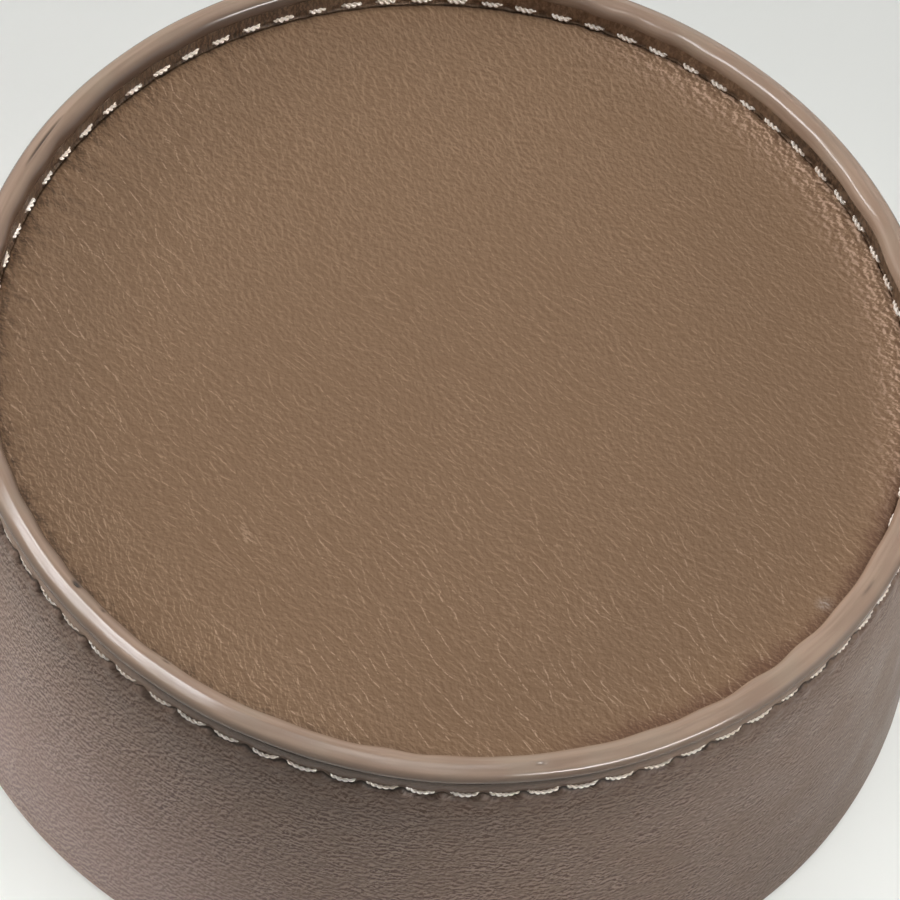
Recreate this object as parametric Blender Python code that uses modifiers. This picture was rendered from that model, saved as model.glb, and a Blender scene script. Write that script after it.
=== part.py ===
"""Leather dice cup, standing on its mouth with the base upwards.

Blender 4.5 script, in metres, +Z up. The origin is the middle of the mouth's plane, and +Z is the
cup's axis. Every piece is turned about that axis, apart from the two threads of the base seam.
"""

import math

import bpy

# Driving dimensions
RIM_RADIUS = 0.0450          # outermost radius of the edge coat on the base rim
HEIGHT = 0.0380              # mouth plane to the crest of the base rim
MOUTH_RADIUS = 0.0478        # outer radius of the wall at the mouth
SHOULDER_RADIUS = 0.0453     # outer radius of the wall just below the seam
SEAM_DEPTH = 0.0036          # seam line below the rim's crest
RECESS_DEPTH = 0.0039        # base disc below the rim's crest

# Thicknesses
LEATHER = 0.0011             # leather of the wall, and of the base disc
FLANGE = 0.0010              # base leather, skived where it is turned up
HEM = 0.0008                 # wall leather, skived where it is turned in at the mouth
TUBE_BOARD = 0.0018          # fibreboard tube in the wall
TUBE_SKIVED = 0.0007         # the same tube where the hem lies on it
BASE_BOARD = 0.0020          # fibreboard disc in the base
LINING = 0.0007
THREAD = 0.0006              # thread diameter
GLUE_GAP = 0.0003            # space between pieces that are glued to each other

# Rim and edge coat
COAT_WIDTH = 0.0027          # across the rim, from the recess to the outside
COAT_HEIGHT = 0.00115        # crest to the leather's raw edges
CREST_LAND = 0.0006          # flat ring on the crest, which the cup stands on when the mouth is up
COAT_OVERHANG = 0.00015      # the coat stands this far out over the leather on each side

# Seam
STITCH_COUNT = 79
POINTS_PER_STITCH = 4
GROOVE_FLOOR = 0.00090       # thread groove's floor, inside the rim's outermost radius
GROOVE_HALF = 0.00085        # half the height of the groove's mouth
SHOULDER_DROP = 0.0014       # the wall is at its full radius this far below the seam line
STITCH_DIP = 0.00012         # a stitch's ends go in by this much
STITCH_SAG = 0.00020         # a stitch's middle hangs lower by this much

# Mouth
FOLD_RADIUS = 0.0010         # outer corner where the wall leather turns in
HEM_FOLD_RADIUS = 0.0008     # inner corner of the same turn
HEM_TOP = 0.0090             # the hem's edge, above the mouth's plane
LINING_START = 0.0030        # the lining's lower edge, which leaves this much of the hem bare

# Recess
GUTTER_DEPTH = 0.0005        # the base disc dips by this much beside the inner thread
GUTTER_WIDTH = 0.0016

TURN_STEPS = 64              # facets round every turned piece
ARC_STEPS = 4                # facets in a quarter turn of a profile
MERGE_DISTANCE = 0.00001     # closes each turned piece where its first and last facets meet

# Levels and radii that follow from the dimensions
RAW_EDGE_Z = HEIGHT - COAT_HEIGHT - GLUE_GAP
SEAM_Z = HEIGHT - SEAM_DEPTH
SHOULDER_Z = SEAM_Z - SHOULDER_DROP
DISC_TOP_Z = HEIGHT - RECESS_DEPTH
DISC_BOTTOM_Z = DISC_TOP_Z - LEATHER
BOARD_TOP_Z = DISC_BOTTOM_Z - GLUE_GAP
BOARD_BOTTOM_Z = BOARD_TOP_Z - BASE_BOARD
FLOOR_TOP_Z = BOARD_BOTTOM_Z - GLUE_GAP
FLOOR_Z = FLOOR_TOP_Z - LINING
RIM_OUTER = RIM_RADIUS - COAT_OVERHANG
RIM_INNER = RIM_OUTER - LEATHER
FLANGE_OUTER = RIM_INNER - GLUE_GAP
FLANGE_INNER = FLANGE_OUTER - FLANGE
CREST_RADIUS = RIM_RADIUS - COAT_WIDTH / 2

# Depths of the wall's layers below its outer surface
TUBE_OUTER = LEATHER + GLUE_GAP
TUBE_INNER = TUBE_OUTER + TUBE_BOARD
HEM_OUTER = TUBE_OUTER + TUBE_SKIVED + GLUE_GAP
HEM_INNER = HEM_OUTER + HEM
LINING_OUTER = TUBE_INNER + GLUE_GAP
LINING_INNER = LINING_OUTER + LINING


def clear_scene():
    """Removes every object, so that the script can be run again in the same file."""
    for item in list(bpy.data.objects):
        bpy.data.objects.remove(item, do_unlink=True)


def make_collection(name):
    """Makes a collection in the scene."""
    collection = bpy.data.collections.new(name)
    bpy.context.scene.collection.children.link(collection)
    return collection


def make_material(name, colour, roughness):
    """A Principled BSDF with a linear colour and a roughness. Nothing on the cup is metal."""
    material = bpy.data.materials.new(name)
    material.use_nodes = True
    shader = material.node_tree.nodes["Principled BSDF"]
    shader.inputs["Base Color"].default_value = (*colour, 1.0)
    shader.inputs["Roughness"].default_value = roughness
    shader.inputs["Metallic"].default_value = 0.0
    return material


def wall_radius(z):
    """Outer radius of the wall at height z: a cone from the mouth to the shoulder."""
    share = z / SHOULDER_Z
    return MOUTH_RADIUS + (SHOULDER_RADIUS - MOUTH_RADIUS) * share


def layer(depth, z):
    """A profile point at a depth below the wall's outer surface."""
    return (wall_radius(z) - depth, z)


def arc(centre, radii, start, end):
    """Profile points on a quarter ellipse, from one angle to another in degrees, ends included."""
    points = []
    for step in range(ARC_STEPS + 1):
        angle = math.radians(start + (end - start) * step / ARC_STEPS)
        points.append((centre[0] + radii[0] * math.cos(angle), centre[1] + radii[1] * math.sin(angle)))
    return points


def turned(name, profile, closed, material, collection):
    """Turns a profile of (radius, height) points about the cup's axis.

    The profile runs down its outer side. A closed one makes a ring, and an open one starts and ends on
    the axis and makes a disc.
    """
    vertices = [(radius, 0.0, height) for radius, height in profile]
    edges = [(index, index + 1) for index in range(len(profile) - 1)]
    if closed:
        edges.append((len(profile) - 1, 0))
    mesh = bpy.data.meshes.new(name)
    mesh.from_pydata(vertices, edges, [])
    piece = bpy.data.objects.new(name, mesh)
    collection.objects.link(piece)
    screw = piece.modifiers.new("Turn", "SCREW")
    screw.axis = "Z"
    screw.angle = math.tau
    screw.steps = TURN_STEPS
    screw.render_steps = TURN_STEPS
    screw.use_merge_vertices = True
    screw.merge_threshold = MERGE_DISTANCE
    screw.use_smooth_shade = True
    mesh.materials.append(material)
    return piece


def outer_wall_profile():
    """Leather sleeve: rim, thread groove, shoulder, cone, fold at the mouth, hem, and back up inside."""
    groove_radius = RIM_RADIUS - GROOVE_FLOOR
    fold_centre = (wall_radius(FOLD_RADIUS) - FOLD_RADIUS, FOLD_RADIUS)
    hem_radius = wall_radius(HEM_FOLD_RADIUS) - HEM_INNER
    hem_centre = (hem_radius + HEM_FOLD_RADIUS, HEM_FOLD_RADIUS)
    profile = [
        (RIM_OUTER, RAW_EDGE_Z),
        (RIM_OUTER, SEAM_Z + GROOVE_HALF),
        (groove_radius, SEAM_Z + THREAD),
        (groove_radius, SEAM_Z - THREAD - STITCH_SAG),
        (SHOULDER_RADIUS - COAT_OVERHANG, SEAM_Z - GROOVE_HALF - STITCH_SAG),
        (SHOULDER_RADIUS, SHOULDER_Z),
    ]
    profile += arc(fold_centre, (FOLD_RADIUS, FOLD_RADIUS), 0, -90)
    profile += arc(hem_centre, (HEM_FOLD_RADIUS, HEM_FOLD_RADIUS), -90, -180)
    profile += [
        layer(HEM_INNER, HEM_TOP),
        layer(HEM_OUTER, HEM_TOP),
        layer(HEM_OUTER, LEATHER),
        layer(LEATHER, LEATHER),
        layer(LEATHER, BOARD_TOP_Z),
        (RIM_INNER, SEAM_Z - GROOVE_HALF),
        (RIM_INNER, RAW_EDGE_Z),
    ]
    return profile


def wall_stiffener_profile():
    """Fibreboard tube, thinner where the hem lies on its inner side."""
    foot = LEATHER + GLUE_GAP
    step = HEM_TOP + GLUE_GAP
    return [
        layer(TUBE_OUTER, BOARD_TOP_Z),
        layer(TUBE_OUTER, foot),
        layer(TUBE_OUTER + TUBE_SKIVED, foot),
        layer(TUBE_OUTER + TUBE_SKIVED, step),
        layer(TUBE_INNER, step),
        layer(TUBE_INNER, BOARD_TOP_Z),
    ]


def wall_lining_profile():
    """Lining of the wall, from above the mouth to the floor lining."""
    top = FLOOR_Z - GLUE_GAP
    return [
        layer(LINING_OUTER, top),
        layer(LINING_OUTER, LINING_START),
        layer(LINING_INNER, LINING_START),
        layer(LINING_INNER, top),
    ]


def base_cover_profile():
    """Base leather: disc, gutter beside the inner thread, flange up to the rim, and the underside."""
    gutter_z = DISC_TOP_Z - GUTTER_DEPTH
    corner_centre = (FLANGE_OUTER - FLANGE, DISC_BOTTOM_Z + FLANGE)
    profile = [
        (0.0, DISC_TOP_Z),
        (FLANGE_INNER - GUTTER_WIDTH, DISC_TOP_Z),
        (FLANGE_INNER - GUTTER_WIDTH / 2, gutter_z),
        (FLANGE_INNER, gutter_z),
        (FLANGE_INNER, RAW_EDGE_Z),
        (FLANGE_OUTER, RAW_EDGE_Z),
    ]
    profile += arc(corner_centre, (FLANGE, FLANGE), 0, -90)
    profile.append((0.0, DISC_BOTTOM_Z))
    return profile


def disc_profile(top, bottom):
    """A flat disc that fits inside the fibreboard tube between two heights."""
    radius = wall_radius(top) - TUBE_INNER - GLUE_GAP
    return [(0.0, top), (radius, top), (radius, bottom), (0.0, bottom)]


def rim_edge_coat_profile():
    """Edge coat: a flat crest between two rounded sides, with a flat underside on the raw edges."""
    bottom = HEIGHT - COAT_HEIGHT
    half_land = CREST_LAND / 2
    radii = (COAT_WIDTH / 2 - half_land, COAT_HEIGHT)
    outer_side = arc((CREST_RADIUS + half_land, bottom), radii, 90, 0)
    inner_side = arc((CREST_RADIUS - half_land, bottom), radii, 180, 90)
    return outer_side + inner_side


def seam_thread(name, radius, inward, material, collection):
    """One thread of the base seam: a ring whose stitches sag in the middle and dip in at their ends.

    inward is -1 where the leather lies on the axis side of the thread, and 1 where it lies outside it.
    """
    count = STITCH_COUNT * POINTS_PER_STITCH
    curve = bpy.data.curves.new(name, "CURVE")
    curve.dimensions = "3D"
    curve.bevel_depth = THREAD / 2
    curve.bevel_resolution = 1
    spline = curve.splines.new("POLY")
    spline.points.add(count - 1)
    spline.use_cyclic_u = True
    for index, point in enumerate(spline.points):
        angle = math.tau * index / count
        share = (1 + math.cos(angle * STITCH_COUNT)) / 2
        reach = radius + inward * STITCH_DIP * share
        height = SEAM_Z - STITCH_SAG * (1 - share)
        point.co = (reach * math.cos(angle), reach * math.sin(angle), height, 1.0)
    curve.materials.append(material)
    thread = bpy.data.objects.new(name, curve)
    collection.objects.link(thread)
    return thread


def build():
    clear_scene()
    cup = make_collection("leather_dice_cup")
    wall_leather = make_material("wall_leather", (0.176, 0.133, 0.109), 0.48)
    base_leather = make_material("base_leather", (0.230, 0.144, 0.087), 0.42)
    edge_coat = make_material("edge_coat", (0.296, 0.216, 0.166), 0.22)
    lining = make_material("lining", (0.120, 0.083, 0.060), 0.85)
    fibreboard = make_material("fibreboard", (0.300, 0.220, 0.140), 0.90)
    thread = make_material("thread", (0.740, 0.660, 0.540), 0.60)

    turned("outer_wall", outer_wall_profile(), True, wall_leather, cup)
    turned("wall_stiffener", wall_stiffener_profile(), True, fibreboard, cup)
    turned("wall_lining", wall_lining_profile(), True, lining, cup)
    turned("base_cover", base_cover_profile(), False, base_leather, cup)
    turned("base_board", disc_profile(BOARD_TOP_Z, BOARD_BOTTOM_Z), False, fibreboard, cup)
    turned("base_lining", disc_profile(FLOOR_TOP_Z, FLOOR_Z), False, lining, cup)
    turned("rim_edge_coat", rim_edge_coat_profile(), True, edge_coat, cup)

    outer_reach = RIM_RADIUS - GROOVE_FLOOR + THREAD / 2 + GLUE_GAP + STITCH_DIP
    inner_reach = FLANGE_INNER - THREAD / 2 - GLUE_GAP - STITCH_DIP
    seam_thread("seam_thread_outer", outer_reach, -1, thread, cup)
    seam_thread("seam_thread_inner", inner_reach, 1, thread, cup)


build()
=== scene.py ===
"""Looks of the leather dice cup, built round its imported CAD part. Blender 4.5, metres, +Z up.

The cup stands on its mouth with the base upwards. Each node that shows is replaced by a finer mesh in
the same place: the sewn wall, the base leather, the rim's edge coat, both lines of stitches and the
linings. The two boards inside the cup stay as they are and get a fibreboard material.
"""

import math

import bpy
import numpy as np
from mathutils import Matrix, Quaternion, Vector, noise


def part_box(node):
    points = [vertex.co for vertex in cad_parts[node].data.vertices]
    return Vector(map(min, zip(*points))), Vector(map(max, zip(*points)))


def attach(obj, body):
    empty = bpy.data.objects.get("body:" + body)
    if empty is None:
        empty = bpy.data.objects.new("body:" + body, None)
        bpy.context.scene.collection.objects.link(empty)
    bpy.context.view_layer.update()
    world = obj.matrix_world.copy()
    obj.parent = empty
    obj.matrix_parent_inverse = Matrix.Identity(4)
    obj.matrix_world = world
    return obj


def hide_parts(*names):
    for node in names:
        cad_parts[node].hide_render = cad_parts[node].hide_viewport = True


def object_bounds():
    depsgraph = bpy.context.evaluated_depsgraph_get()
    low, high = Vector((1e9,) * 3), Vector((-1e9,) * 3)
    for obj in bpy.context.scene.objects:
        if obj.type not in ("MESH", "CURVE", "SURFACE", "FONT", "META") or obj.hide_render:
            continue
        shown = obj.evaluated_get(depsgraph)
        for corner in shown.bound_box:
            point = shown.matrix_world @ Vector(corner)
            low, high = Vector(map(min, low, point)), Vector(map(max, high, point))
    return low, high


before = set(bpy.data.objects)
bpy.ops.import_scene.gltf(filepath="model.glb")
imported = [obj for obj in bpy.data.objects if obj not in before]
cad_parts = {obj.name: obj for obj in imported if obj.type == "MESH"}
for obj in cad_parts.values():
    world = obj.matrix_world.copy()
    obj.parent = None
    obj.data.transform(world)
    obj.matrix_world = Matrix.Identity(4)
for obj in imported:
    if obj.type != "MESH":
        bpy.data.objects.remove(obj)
CAD_LOW, CAD_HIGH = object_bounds()

MM = 0.001

# Sizes that come from the frame
HEIGHT = CAD_HIGH.z
RIM_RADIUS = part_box("rim_edge_coat")[1].x
MOUTH_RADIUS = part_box("outer_wall")[1].x
FLANGE_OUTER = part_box("base_cover")[1].x
DISC_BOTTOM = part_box("base_cover")[0].z
LINING_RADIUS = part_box("wall_lining")[1].x
LINING_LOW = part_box("wall_lining")[0].z
LINING_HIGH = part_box("wall_lining")[1].z
FLOOR_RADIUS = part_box("base_lining")[1].x
FLOOR_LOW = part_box("base_lining")[0].z
FLOOR_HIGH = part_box("base_lining")[1].z

# Rim and recess, as depths below the rim's crest
COAT_WIDTH = 2.66 * MM
COAT_PEAK = 1.34 * MM            # rim's outer line to the crest
COAT_SIDE = 1.15 * MM            # crest to the coat's widest line
COAT_BOTTOM = 1.55 * MM          # crest to the raw leather edges under the coat
SEAM_DEPTH = 3.6 * MM            # crest to the middle of an outer stitch
CREASE_DEPTH = 4.10 * MM         # crest to the wall's crease under the middle of a stitch
INNER_DEPTH = 3.40 * MM          # crest to the inner stitches
SHOULDER_DEPTH = 5.0 * MM
SHOULDER_RADIUS = RIM_RADIUS + 0.3 * MM
RECESS_DEPTH = 3.9 * MM
FLANGE_INNER = FLANGE_OUTER - 1.0 * MM
DISC_TOP = HEIGHT - RECESS_DEPTH

# Wall and mouth
LEATHER = 1.1 * MM
FOLD_RADIUS = 1.0 * MM
HEM_INNER = 3.2 * MM             # hem's inner face below the wall's outer surface
HEM_OUTER = 2.4 * MM
HEM_FOLD = 0.8 * MM
HEM_TOP = 9.0 * MM
LINING = 0.7 * MM
LAP_ANGLE = math.radians(100)    # the sleeve's glued lap joint, at the back
LAP_STEP = 0.22 * MM             # height of the lap's edge
LAP_SKIVE = 9.0 * MM             # the lap thins out to nothing over this length

# Stitches
STITCHES = 79
PITCH = math.tau / STITCHES
SHADED_SUNK_STITCHES = math.radians(212)          # outer stitches here are dimmed with painted shade and half sunk
SUNK_STITCHES = math.radians(325)          # outer stitches here are a little sunk, with half as much painted shade
HIDDEN_STITCHES = math.radians(342)        # inner stitches here are pulled in tight
OUTER_STITCH_ANGLE = math.radians(269.3)   # middle of one outer stitch
INNER_STITCH_ANGLE = math.radians(87.9)    # middle of one inner stitch
OUTER_SHARE = 0.86               # visible stitch, as a share of the pitch
INNER_SHARE = 0.60
OUTER_GAUGE = 0.90               # thickness of each thread, as a share of the ply sizes below
INNER_GAUGE = 1.22
OUTER_SAG = 0.42 * MM
SEAM_RISE = 0.55 * MM            # the crease rises this much between the stitches
RISE_SHARE = 0.30                # reach of that rise on each side of a needle hole, as a share of the pitch
INNER_SAG = 0.05 * MM
STITCH_DIP = 0.20 * MM
PLIES = 2
PLY_RADIUS = 0.125 * MM
PLY_OFFSET = 0.105 * MM
PLY_TWIST = 1.10 * MM            # length of one full twist
STRAND_POINTS = 44
STRAND_SIDES = 8

COLUMNS = STITCHES * 16          # facets round the outer pieces
DISC_RINGS = COLUMNS // 8        # rings in the base disc, each with 8 more facets than the one inside

# Sides of the cup, in degrees round from the right
RIGHT_SIDE = 5.0                 # the base leather swells most here
SPECKLED_EDGE = 35.0
LIGHTER_FLANGE = 82.0
BACK_LEFT = 150.0
SHADED_COAT = 165.0
WRINKLED_DISC = 192.0
LEFT_EDGE_SHADE = 195.0
DEEP_EDGE_SHADE = 198.0
SHADED_WALL = 248.0
FRONT_SIDE = 268.0
SHADED_PUCKERED_EDGE = 325.0
SCUFF = 332.3

# Photograph's frame and camera
IMAGE_SIZE = 900
SENSOR = 36.0
FOCAL_PX = 5500.0
CAMERA_DISTANCE = 0.5001
CAMERA_ELEVATION = math.radians(55.28)
CAMERA_ROLL = math.radians(8.93)
RIM_CENTRE_PX = (456.7, 346.8)


# Shapes

def ripple(angle, seed, low, high, amplitude):
    """A smooth random wave round the cup, made of whole waves from low to high per turn."""
    random = np.random.default_rng(seed)
    waves = np.arange(low, high + 1)
    weights = random.normal(size=len(waves)) / math.sqrt(len(waves))
    phases = random.uniform(0, math.tau, len(waves))
    total = np.zeros_like(angle)
    for wave, weight, phase in zip(waves, weights, phases):
        total += weight * np.sin(wave * angle + phase)
    return amplitude * total


def lumps(points, size, seed):
    """Gradient noise at points, about -1 to 1, with lumps of a size in metres."""
    shift = Vector((seed * 7.3, seed * 3.1, seed * 5.7))
    flat = points.reshape(-1, 3) / size
    values = [noise.noise(Vector(point) + shift) for point in flat]
    return np.array(values).reshape(points.shape[:-1])


def smooth_step(value, start, end):
    share = np.clip((value - start) / (end - start), 0.0, 1.0)
    return share * share * (3 - 2 * share)


def bell(value, width):
    return np.exp(-(value / width) ** 2)


def toward(angle, middle, start, end):
    """A mask round a side in degrees: it grows from 0 to 1 between two cosines of the angle from there."""
    return smooth_step(np.cos(angle - math.radians(middle)), start, end)


def side_share(angle, middle):
    """1 on the cup's side that faces an angle in degrees, falling to 0 past a quarter turn from it."""
    return toward(angle, middle, -0.1, 0.7)


def column_angles(start=0.0):
    return start + math.tau * np.arange(COLUMNS) / COLUMNS


def hole_distance(angle, middle, radius):
    """Arc length to the nearest needle hole of a seam that has a stitch's middle at an angle."""
    share = ((angle - middle) / PITCH + 0.5) % 1.0
    return np.minimum(share, 1.0 - share) * PITCH * radius


def turn(angle, radius, height):
    """Points from cylindrical coordinates."""
    return np.stack([radius * np.cos(angle), radius * np.sin(angle), height], axis=-1)


def new_piece(name, vertices, faces):
    """A smooth mesh object in the scene."""
    mesh = bpy.data.meshes.new(name)
    mesh.from_pydata(vertices, [], faces)
    mesh.shade_smooth()
    piece = bpy.data.objects.new(name, mesh)
    bpy.context.scene.collection.objects.link(piece)
    return piece


def add_mark(piece, name, values):
    """Stores one number a vertex, which the material reads."""
    mark = piece.data.attributes.new(name, "FLOAT", "POINT")
    mark.data.foreach_set("value", np.asarray(values, np.float32).ravel())


def ring_piece(name, points, start=0.0):
    """A closed ring from points[row][column]: rows go round its section, columns round the cup.

    start is the UV layer's value at the first row.
    """
    rows, columns = points.shape[:2]
    row, column = np.meshgrid(np.arange(rows), np.arange(columns), indexing="ij")
    below = (row + 1) % rows
    after = (column + 1) % columns
    corners = [row * columns + column, below * columns + column]
    corners += [below * columns + after, row * columns + after]
    faces = np.stack(corners, axis=-1).reshape(-1, 4)
    piece = new_piece(name, points.reshape(-1, 3).tolist(), faces.tolist())
    add_wrap(piece, points, start)
    return piece


def add_wrap(piece, points, start):
    """A UV layer in metres: along the ring, and along its section by height, or by radius where flat."""
    rows, columns = points.shape[:2]
    radius = np.hypot(points[:, 0, 0], points[:, 0, 1])
    step = np.maximum(np.abs(np.diff(points[:, 0, 2])), np.abs(np.diff(radius)))
    along = start + np.concatenate([[0.0], np.cumsum(step), [np.sum(step)]])
    around = np.arange(columns + 1) * math.tau * RIM_RADIUS / columns
    row, column = np.meshgrid(np.arange(rows), np.arange(columns), indexing="ij")
    u = np.stack([around[column], around[column], around[column + 1], around[column + 1]], axis=-1)
    v = np.stack([along[row], along[row + 1], along[row + 1], along[row]], axis=-1)
    layer = piece.data.uv_layers.new(name="wrap")
    layer.data.foreach_set("uv", np.stack([u, v], axis=-1).astype(np.float32).ravel())


def spread(points, spacing):
    """Resamples a (radius, height) line at about even spacing, keeping its ends."""
    points = np.array(points, float)
    length = np.concatenate([[0.0], np.cumsum(np.linalg.norm(np.diff(points, axis=0), axis=1))])
    count = max(2, int(round(length[-1] / spacing)) + 1)
    at = np.linspace(0.0, length[-1], count)
    return np.stack([np.interp(at, length, points[:, 0]), np.interp(at, length, points[:, 1])], axis=-1)


def round_off(points, times):
    """Rounds the corners of an open line by cutting them, keeping its ends."""
    points = np.array(points, float)
    for _ in range(times):
        first = points[:-1] * 0.75 + points[1:] * 0.25
        second = points[:-1] * 0.25 + points[1:] * 0.75
        between = np.stack([first, second], axis=1).reshape(-1, 2)
        points = np.concatenate([points[:1], between, points[-1:]])
    return points


def corner(centre, radius, start, end, count=7):
    """Points on an arc, with angles in degrees."""
    angle = np.radians(np.linspace(start, end, count))
    return np.stack([centre[0] + radius * np.cos(angle), centre[1] + radius * np.sin(angle)], axis=-1)


# The wall

def wall_radius(depth):
    """The wall's outer cone, from the shoulder to the mouth, by depth below the rim's crest."""
    share = (depth - SHOULDER_DEPTH) / (HEIGHT - SHOULDER_DEPTH)
    return SHOULDER_RADIUS + (MOUTH_RADIUS - SHOULDER_RADIUS) * share


def seam_section(depth):
    """Outer radius near the seam: a strip under the rim, the seam's crease and the shoulder."""
    strip = RIM_RADIUS - 0.14 * MM - 0.24 * MM * smooth_step(depth, 2.0 * MM, 3.8 * MM)
    shoulder = wall_radius(depth) - 0.36 * MM * (1.0 - smooth_step(depth, 3.4 * MM, 6.6 * MM))
    blend = smooth_step(depth, CREASE_DEPTH - 0.05 * MM, CREASE_DEPTH + 0.35 * MM)
    crease = 0.08 * MM * bell(depth - CREASE_DEPTH, 0.16 * MM)
    return strip + (shoulder - strip) * blend - crease


def wall_outer_rows():
    """Depths of the rows on the wall's outer surface, closer together at the seam."""
    fine = np.arange(COAT_BOTTOM, 6.4 * MM, 0.09 * MM)
    coarse = np.linspace(6.4 * MM, HEIGHT - FOLD_RADIUS, 46)
    return np.concatenate([fine, coarse])


def wall_back_line():
    """The rest of the wall's section: fold, mouth, hem, and the hidden face back up to the rim."""
    low = HEIGHT - FOLD_RADIUS
    fold = corner((wall_radius(low) - FOLD_RADIUS, FOLD_RADIUS), FOLD_RADIUS, -10, -90, 8)
    hem_line = wall_radius(HEIGHT - HEM_FOLD) - HEM_INNER
    inner_fold = corner((hem_line + HEM_FOLD, HEM_FOLD), HEM_FOLD, -90, -180, 7)
    hem = spread([inner_fold[-1], (wall_radius(HEIGHT - HEM_TOP) - HEM_INNER, HEM_TOP)], 0.7 * MM)[1:]
    hidden = [
        (wall_radius(HEIGHT - HEM_TOP) - HEM_OUTER, HEM_TOP),
        (wall_radius(HEIGHT - LEATHER) - HEM_OUTER, LEATHER),
        (wall_radius(HEIGHT - LEATHER) - LEATHER, LEATHER),
        (wall_radius(SHOULDER_DEPTH) - LEATHER, HEIGHT - SHOULDER_DEPTH),
        (RIM_RADIUS - 1.25 * MM, HEIGHT - SEAM_DEPTH),
        (RIM_RADIUS - 1.25 * MM, HEIGHT - COAT_BOTTOM),
    ]
    land = spread([fold[-1], inner_fold[0]], 0.4 * MM)[1:-1]
    return np.concatenate([fold, land, inner_fold, hem, np.array(hidden)])


def build_wall():
    """Sewn leather sleeve: pinched at each needle hole, lapped at the back and turned in at the mouth."""
    angle = column_angles(LAP_ANGLE)
    depth = wall_outer_rows()[:, None]
    hole = hole_distance(angle, OUTER_STITCH_ANGLE, RIM_RADIUS)[None, :]
    uneven = ripple(angle, 11, 2, 9, 0.09 * MM)[None, :]
    seam_wave = ripple(angle, 12, 5, 30, 0.07 * MM)[None, :]
    rise = SEAM_RISE * (1.0 - smooth_step(hole, 0.0, RISE_SHARE * PITCH * RIM_RADIUS))
    near_seam = 1.0 - smooth_step(np.abs(depth - 3.8 * MM), 0.6 * MM, 1.6 * MM)
    radius = seam_section(depth + (seam_wave + rise) * near_seam)
    pinch = bell(hole, 0.3 * MM) * bell(depth - CREASE_DEPTH + SEAM_RISE, 0.25 * MM)
    radius = radius - 0.08 * MM * pinch
    free = smooth_step(depth, 4.0 * MM, 9.0 * MM)
    radius = radius + free * uneven
    past_lap = (angle - LAP_ANGLE) * RIM_RADIUS
    lap = LAP_STEP * np.clip(1.0 - past_lap / LAP_SKIVE, 0.0, 1.0)[None, :]
    radius = radius + lap * smooth_step(depth, 3.8 * MM, 4.6 * MM)
    outer_height = np.broadcast_to(HEIGHT - depth, radius.shape)

    back = wall_back_line()
    sway = (uneven + lap) * smooth_step(HEM_TOP - back[:, 1:], 0.0, HEM_TOP) * (back[:, :1] > 0)
    sway[len(back) - 6:] = 0.0
    back_radius = back[:, :1] + sway
    back_height = np.broadcast_to(back[:, 1:], back_radius.shape)

    points = turn(angle, np.concatenate([radius, back_radius]), np.concatenate([outer_height, back_height]))
    rough = lumps(points[: len(depth)], 2.6 * MM, 3) * 0.025 * MM
    points[: len(depth)] += turn(angle, rough, np.zeros_like(rough))
    wall = ring_piece("wall_sleeve", points, COAT_BOTTOM)

    # Painted shade, stored as a mark for the material: under the rim, on the strip above the seam (most in
    # front), in a band below the seam (most at the front left) and along the lap's edge.
    front = toward(angle, FRONT_SIDE, 0.80, 0.97)[None, :]
    under_rim = bell(depth - COAT_BOTTOM, 0.35 * MM) * (0.35 + 0.45 * front)
    above_seam = 1.0 - smooth_step(depth, 3.4 * MM, 4.0 * MM)
    strip = above_seam * (0.10 + 0.50 * front)
    lap_line = bell(past_lap, 0.22 * MM) + bell(past_lap - math.tau * RIM_RADIUS, 0.22 * MM)
    lap_line = lap_line[None, :] * smooth_step(depth, 4.0 * MM, 5.0 * MM)
    band = smooth_step(depth, 3.4 * MM, 4.0 * MM) * (1.0 - smooth_step(depth, 4.6 * MM, 13.0 * MM))
    band = band * (0.12 + 0.14 * side_share(angle, SHADED_WALL))[None, :]
    dark = np.clip(under_rim + band + strip + 0.6 * lap_line, 0.0, 1.0) + np.zeros_like(radius)
    add_mark(wall, "painted_shade", np.concatenate([dark, np.zeros_like(back_radius)]))
    smear = above_seam * (1.0 - 0.6 * front) + np.zeros_like(radius)
    add_mark(wall, "smear", np.concatenate([smear, np.zeros_like(back_radius)]))
    edge = bell(depth - HEIGHT, 1.4 * MM) + np.zeros_like(radius)
    mouth = smooth_step(FOLD_RADIUS * 2 - back[:, 1:], 0.0, FOLD_RADIUS) + np.zeros_like(back_radius)
    add_mark(wall, "wear", np.concatenate([edge, mouth]))
    return wall


# The base

def disc_angles(rings):
    """Ring numbers and angles of a disc's points, ring by ring from the middle."""
    ring = np.concatenate([[0]] + [np.full(8 * k, k) for k in range(1, rings + 1)])
    angles = [math.tau * np.arange(8 * k) / (8 * k) for k in range(1, rings + 1)]
    return ring, np.concatenate([[0.0]] + angles)


def disc_faces(rings):
    """Quads of a disc whose rings have 8 more points each: a square grid bent round."""
    side = np.arange(-rings, rings + 1)
    x, y = np.meshgrid(side, side, indexing="ij")
    ring = np.maximum(np.abs(x), np.abs(y))
    walk = np.select(
        [(x == ring) & (y > -ring), (y == ring), (x == -ring)],
        [y, 2 * ring - x, 4 * ring - y],
        6 * ring + x,
    )
    first = np.where(ring > 0, 1 + 4 * ring * (ring - 1), 0)
    index = first + np.where(ring > 0, walk % np.maximum(8 * ring, 1), 0)
    corners = [index[:-1, :-1], index[1:, :-1], index[1:, 1:], index[:-1, 1:]]
    return np.stack(corners, axis=-1).reshape(-1, 4)


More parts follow.
